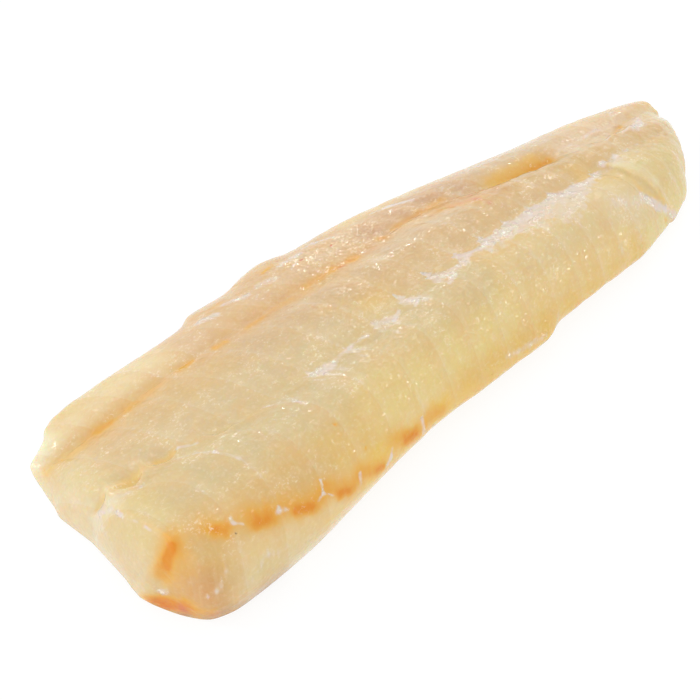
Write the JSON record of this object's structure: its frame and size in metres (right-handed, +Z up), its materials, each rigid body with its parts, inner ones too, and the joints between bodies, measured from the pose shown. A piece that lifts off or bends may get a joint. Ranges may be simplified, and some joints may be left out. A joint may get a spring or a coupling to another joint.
{
  "type": "raw cod fillet",
  "caption": "Skinned raw white fish fillet lying flat: square knife cut, thick loin side, thin belly flap and a tapering tail, with flakes and a seam along it.",
  "frame": {"origin": "on the surface that the fillet lies on, under the middle of its box", "axes": "+X from the knife cut to the tail, +Y from the thick loin side to the thin belly side, +Z up"},
  "size_m": [0.2528, 0.094, 0.0292],
  "materials": {
    "flesh": "wet, translucent raw fish flesh"
  },
  "bodies": {
    "root": {"fillet": "flesh"}
  },
  "joints": []
}
